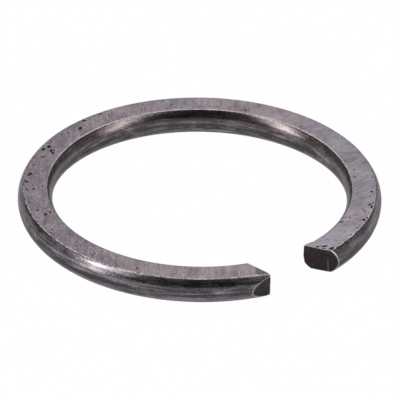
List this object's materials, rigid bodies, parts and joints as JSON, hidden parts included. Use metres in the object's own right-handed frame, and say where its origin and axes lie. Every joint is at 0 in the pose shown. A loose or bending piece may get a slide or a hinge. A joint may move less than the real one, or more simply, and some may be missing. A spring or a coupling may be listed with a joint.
{
  "type": "bearing spacer ring",
  "caption": "Open steel wire ring, ground flat above and below with slant-sheared ends, used to space or retain a bearing.",
  "frame": {"origin": "on the ring's axis, in the plane of the bottom ground face", "axes": "+Z along the ring's axis towards the wider ground face; the gap between the two ends is centred on -Y"},
  "size_m": [0.042, 0.0413, 0.0033],
  "materials": {
    "spring_steel": "dark drawn spring steel, semi-gloss flanks, matt ground faces"
  },
  "bodies": {
    "root": {"spacer_ring": "spring_steel"}
  },
  "joints": []
}
